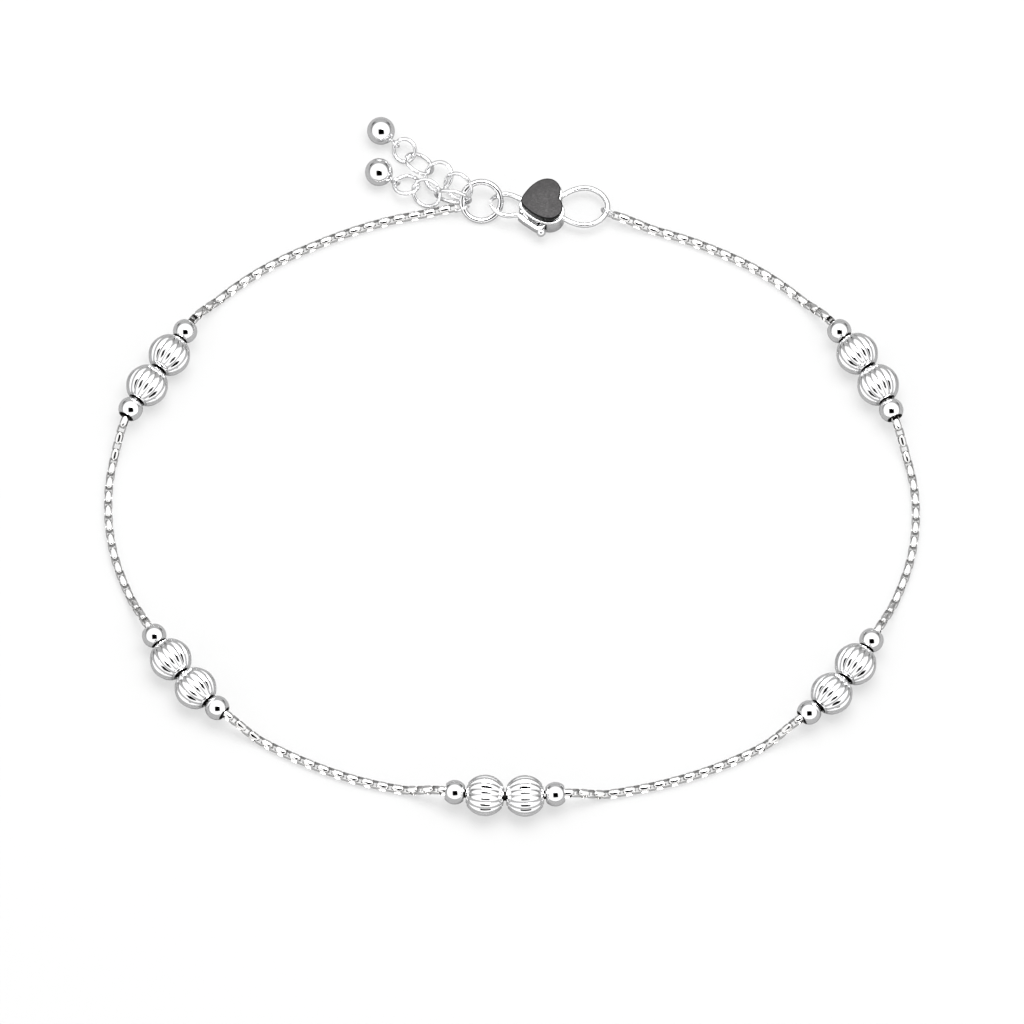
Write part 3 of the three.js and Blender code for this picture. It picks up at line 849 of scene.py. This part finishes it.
def heart_slab(name, length, width, bottom, top, edge, rounds=4):
    """A heart of the given height whose upper and lower edges are rounded."""
    slab, line, spline = new_curve(name, len(HEART_KNOTS))
    spline.use_cyclic_u = True
    for knot, (co, left, right) in zip(spline.bezier_points, HEART_KNOTS):
        knot.handle_left_type = knot.handle_right_type = "FREE"
        knot.co = (co[0] * length, co[1] * width, 0)
        knot.handle_left = (left[0] * length, left[1] * width, 0)
        knot.handle_right = (right[0] * length, right[1] * width, 0)
    line.dimensions = "2D"
    line.fill_mode = "BOTH"
    line.resolution_u = 20
    line.offset = -edge
    line.extrude = (top - bottom) / 2 - edge
    line.bevel_depth = edge
    line.bevel_resolution = rounds
    slab = as_mesh(slab, name)
    turn = Matrix.Rotation(math.radians(HEART_TURN), 4, "Z")
    place(slab, turn @ Matrix.Translation((0, 0, (top + bottom) / 2)))
    return slab


# Claw and bail wires, in shares of their reach and half width
HOOK_ROUTE = [(0.33, 0.56), (0.5, 0.9), (0.62, 1.08), (0.74, 1.13), (0.86, 1.0), (0.95, 0.72), (1, 0.4)]
GATE_ROUTE = [(1, 0.03), (0.95, -0.3), (0.82, -0.7), (0.66, -0.86), (0.5, -0.82), (0.43, -0.86)]
STRIP_ROUTE = [(0.44, -0.84), (0.36, -1.13), (0.24, -1.46), (0.14, -1.73), (0.06, -1.9)]
BAIL_HALF = [(0.26, 0.5), (0.47, 0.88), (0.65, 1), (0.82, 0.86), (0.95, 0.48)]

# Thickness of the wires at their points, in shares of the claw's wire
HOOK_THICKNESS = [1.1, 1.05, 1, 1, 1, 0.8, 0.55]
GATE_THICKNESS = [0.55, 0.75, 0.95, 1, 0.95, 0.9]

# How far the hook's last two points rise, in shares of the way up to the gate
HOOK_RISE = (0.3, 0.7)


def claw_points(route, height):
    return [Vector((-along * CLAW_REACH, out * CLAW_WIDTH / 2, height)) for along, out in route]


def upright_band(name, points, thickness, bottom, top, edge):
    """A band that stands on its edge and follows the points seen from above."""
    band, line, spline = new_curve(name, len(points))
    for knot, point in zip(spline.bezier_points, points):
        knot.co = (point.x, point.y, 0)
        knot.handle_left_type = knot.handle_right_type = "AUTO"
    line.dimensions = "2D"
    line.fill_mode = "NONE"
    line.resolution_u = 10
    line.extrude = (top - bottom) / 2
    band = as_mesh(band, name)
    wall = band.modifiers.new("wall", "SOLIDIFY")
    wall.thickness = thickness
    wall.offset = 0
    if edge:
        soft = band.modifiers.new("soft_edge", "BEVEL")
        soft.width = edge
        soft.segments = 3
        soft.limit_method = "ANGLE"
        soft.angle_limit = math.radians(50)
    apply_all(band)
    tidy_shell(band)
    place(band, Matrix.Translation((0, 0, (top + bottom) / 2)))
    return band


def about_pivot(degrees):
    turn = Matrix.Rotation(math.radians(degrees), 4, "Z")
    return Matrix.Translation(LEVER_PIVOT) @ turn @ Matrix.Translation(-LEVER_PIVOT)


def tongue_line(end):
    """The hidden tongue's line, from the strip's end to the pivot."""
    return [end, end.lerp(LEVER_PIVOT, 0.5), LEVER_PIVOT]


def nub_place():
    end = claw_points(STRIP_ROUTE, (STRIP_BOTTOM + STRIP_TOP) / 2)[-1]
    return end + Vector((NUB_DIAMETER * 0.2, -NUB_DIAMETER * 0.25, 0))


def cut_lever_room(housing):
    """Opens the housing where the lever lies and where it swings to."""
    strip = claw_points(STRIP_ROUTE, 0)
    strip[0] += (strip[0] - strip[1]).normalized() * LEVER_CLEARANCE
    nub_room = NUB_DIAMETER / 2 + LEVER_CLEARANCE
    low, high = STRIP_BOTTOM - LEVER_CLEARANCE, STRIP_TOP + LEVER_CLEARANCE
    for share in (0, 0.5, 1):
        swing = about_pivot(-share * LEVER_OPENING)
        for route in (strip, tongue_line(strip[-1])):
            room = upright_band("room", route, STRIP_WIDTH + 2 * LEVER_CLEARANCE, low, high, 0)
            place(room, swing)
            cut(housing, room)
        bpy.ops.mesh.primitive_uv_sphere_add(segments=24, ring_count=16, radius=nub_room)
        room = named("room")
        place(room, swing @ Matrix.Translation(nub_place()))
        cut(housing, room)


def make_clasp_body():
    length, width = HEART_LENGTH + 2 * HOUSING_LEDGE, HEART_WIDTH + 2 * HOUSING_LEDGE
    housing = heart_slab("clasp_housing", length, width, 0, HOUSING_TOP, HOUSING_EDGE)
    cut_lever_room(housing)
    place(housing, place_clasp)
    smooth(housing, 40)
    finish_piece(housing, "anklet", silver, "silver", "clasp_body")

    hook_points = claw_points(HOOK_ROUTE, HOOK_HEIGHT)
    for point, share in zip(hook_points[-2:], HOOK_RISE):
        point.z += (GATE_HEIGHT - HOOK_HEIGHT) * share
    hook = bent_wire("clasp_hook", hook_points, CLAW_WIRE, HOOK_THICKNESS)
    place(hook, place_clasp)
    finish_piece(hook, "anklet", silver, "silver")

    half = [Vector((along * BAIL_REACH, out * BAIL_WIDTH / 2, BAIL_HEIGHT)) for along, out in BAIL_HALF]
    other = [Vector((p.x, -p.y, p.z)) for p in reversed(half)]
    bail = bent_wire("clasp_bail", [*half, Vector((BAIL_REACH, 0, BAIL_HEIGHT)), *other], BAIL_WIRE)
    place(bail, place_clasp)
    finish_piece(bail, "anklet", silver, "silver")


def make_heart_plate():
    plate = heart_slab("heart_plate_dark", HEART_LENGTH, HEART_WIDTH, PLATE_BOTTOM, PLATE_TOP, PLATE_EDGE, 2)
    place(plate, place_clasp)
    smooth(plate, 25)
    finish_piece(plate, "anklet", gunmetal, "dark_plate", "heart_plate")
    plate.data.materials.append(black_edge)
    for face in plate.data.polygons:
        face.material_index = 0 if face.normal.z > FLAT_NORMAL else 1


def make_lever():
    gate = bent_wire("lever_gate", claw_points(GATE_ROUTE, GATE_HEIGHT), CLAW_WIRE, GATE_THICKNESS)
    strip = claw_points(STRIP_ROUTE, 0)
    lever, tongue = (
        upright_band(name, line, STRIP_WIDTH, STRIP_BOTTOM, STRIP_TOP, STRIP_EDGE)
        for name, line in (("lever_strip", strip), ("lever_tongue", tongue_line(strip[-1])))
    )
    bpy.ops.mesh.primitive_uv_sphere_add(segments=40, ring_count=24, radius=NUB_DIAMETER / 2)
    nub = named("lever_nub")
    place(nub, Matrix.Translation(nub_place()))
    for part in (tongue, gate, nub):
        cut(lever, part, "UNION")
    pick(lever)
    lever = named("clasp_lever_bent")
    place(lever, place_clasp)
    smooth(lever, 40)
    finish_piece(lever, "lever", silver, "silver", "clasp_lever")


make_chain()
make_end_links()
make_jump_ring()
make_strands()
make_beads()
make_clasp_body()
make_heart_plate()
make_lever()


# Studio: a light table lit from below, a white tent with the camera's opening, and a soft lamp
def make_floor():
    """A translucent white sheet, which lets the lamp below shine through."""
    bpy.ops.object.select_all(action="DESELECT")
    bpy.ops.mesh.primitive_plane_add(size=6)
    floor = named("floor")
    material, nodes, links = new_material("light_table")
    sheet = nodes["Principled BSDF"]
    sheet.inputs["Base Color"].default_value = (TABLE_TONE, TABLE_TONE, TABLE_TONE, 1)
    sheet.inputs["Roughness"].default_value = 0.9
    sheet.inputs["Specular IOR Level"].default_value = 0
    clear = nodes.new("ShaderNodeBsdfTransparent")
    both = nodes.new("ShaderNodeMixShader")
    both.inputs["Fac"].default_value = TABLE_CLEARNESS
    links.new(sheet.outputs["BSDF"], both.inputs[1])
    links.new(clear.outputs["BSDF"], both.inputs[2])
    links.new(both.outputs["Shader"], nodes["Material Output"].inputs["Surface"])
    floor.data.materials.append(material)


def make_tent():
    world = bpy.data.worlds.new("tent")
    scene.world = world
    world.use_nodes = True
    nodes, links = world.node_tree.nodes, world.node_tree.links
    where = nodes.new("ShaderNodeTexCoord")

    def toward(direction):
        dot = nodes.new("ShaderNodeVectorMath")
        dot.operation = "DOT_PRODUCT"
        dot.inputs[1].default_value = direction
        links.new(where.outputs["Generated"], dot.inputs[0])
        return dot.outputs["Value"]

    def sized(value, start, end, low=0, high=1):
        step = nodes.new("ShaderNodeMapRange")
        step.interpolation_type = "SMOOTHSTEP"
        for key, number in (("From Min", start), ("From Max", end), ("To Min", low), ("To Max", high)):
            step.inputs[key].default_value = number
        links.new(value, step.inputs["Value"])
        return step.outputs["Result"]

    def worked(operation, first, second=None):
        sum_node = nodes.new("ShaderNodeMath")
        sum_node.operation = operation
        for socket, value in zip(sum_node.inputs, (first, second)):
            if value is None:
                continue
            if isinstance(value, (int, float)):
                socket.default_value = value
            else:
                links.new(value, socket)
        return sum_node.outputs["Value"]

    def patch(elevation, bearing, half_wide, half_high, soft):
        """1 inside a rectangle of the tent's wall, 0 outside it."""
        e, b = math.radians(elevation), math.radians(bearing)
        out = Vector((math.cos(e) * math.sin(b), math.cos(e) * math.cos(b), math.sin(e)))
        right = Vector((math.cos(b), -math.sin(b), 0))
        up = right.cross(out)
        depth = worked("MAXIMUM", toward(out), 0.01)
        wide = worked("ABSOLUTE", worked("DIVIDE", toward(right), depth))
        high = worked("ABSOLUTE", worked("DIVIDE", toward(up), depth))
        w, h = math.tan(math.radians(half_wide)), math.tan(math.radians(half_high))
        in_width = sized(wide, w - soft, w + soft, 1, 0)
        in_height = sized(high, h - soft, h + soft, 1, 0)
        inside = worked("MULTIPLY", in_width, in_height)
        return worked("MULTIPLY", inside, sized(toward(out), 0.05, 0.1))

    dome = sized(toward(TO_CAMERA), *DOME_SPREAD, *DOME_STRENGTH)
    above = sized(toward(Vector((0, 0, 1))), -HORIZON, HORIZON)
    light = worked("MULTIPLY", dome, above)
    glowing = worked("MULTIPLY", patch(*FAR_GLOW), FAR_GLOW_GAIN)
    light = worked("MULTIPLY", light, worked("ADD", 1, glowing))
    for dark in (CAMERA_OPENING, *SIDE_GAPS):
        light = worked("MULTIPLY", light, worked("SUBTRACT", 1, patch(*dark)))
    below = worked("MULTIPLY", sized(toward(Vector((0, 0, -1))), -HORIZON, HORIZON), UNDER_TABLE)
    rim, core = (math.cos(math.radians(angle)) for angle in (TABLE_LAMP_RIM, TABLE_LAMP_CORE))
    lamp_below = sized(toward(-TO_CAMERA), rim, core, 0, TABLE_LAMP)
    light = worked("ADD", light, worked("ADD", below, lamp_below))
    glow = nodes["Background"]
    links.new(light, glow.inputs["Strength"])
    glow.inputs["Color"].default_value = (1, 1, 1, 1)


def make_lamp():
    lamp = bpy.data.lights.new("soft_lamp", "AREA")
    lamp.shape = "RECTANGLE"
    lamp.size, lamp.size_y = LAMP_SIZE
    lamp.energy = LAMP_POWER
    holder = bpy.data.objects.new("soft_lamp", lamp)
    holder.location = LAMP_PLACE
    holder.rotation_euler = LAMP_PLACE.to_track_quat("Z", "Y").to_euler()
    scene.collection.objects.link(holder)


def make_camera():
    """Long lens, at the photograph's angle from above: a tenth of a millimetre to a picture point."""
    view = bpy.data.cameras.new("camera")
    view.sensor_width = SENSOR_WIDTH
    view.lens = LENS
    view.clip_end = 20
    view.clip_start = 0.1
    away = PICTURE_WIDTH * LENS / SENSOR_WIDTH
    camera = bpy.data.objects.new("camera", view)
    camera.location = shift + TO_CAMERA * away
    camera.rotation_euler = (math.pi / 2 - CAMERA_ELEVATION, 0, 0)
    scene.collection.objects.link(camera)
    scene.camera = camera


make_floor()
make_tent()
make_lamp()
make_camera()
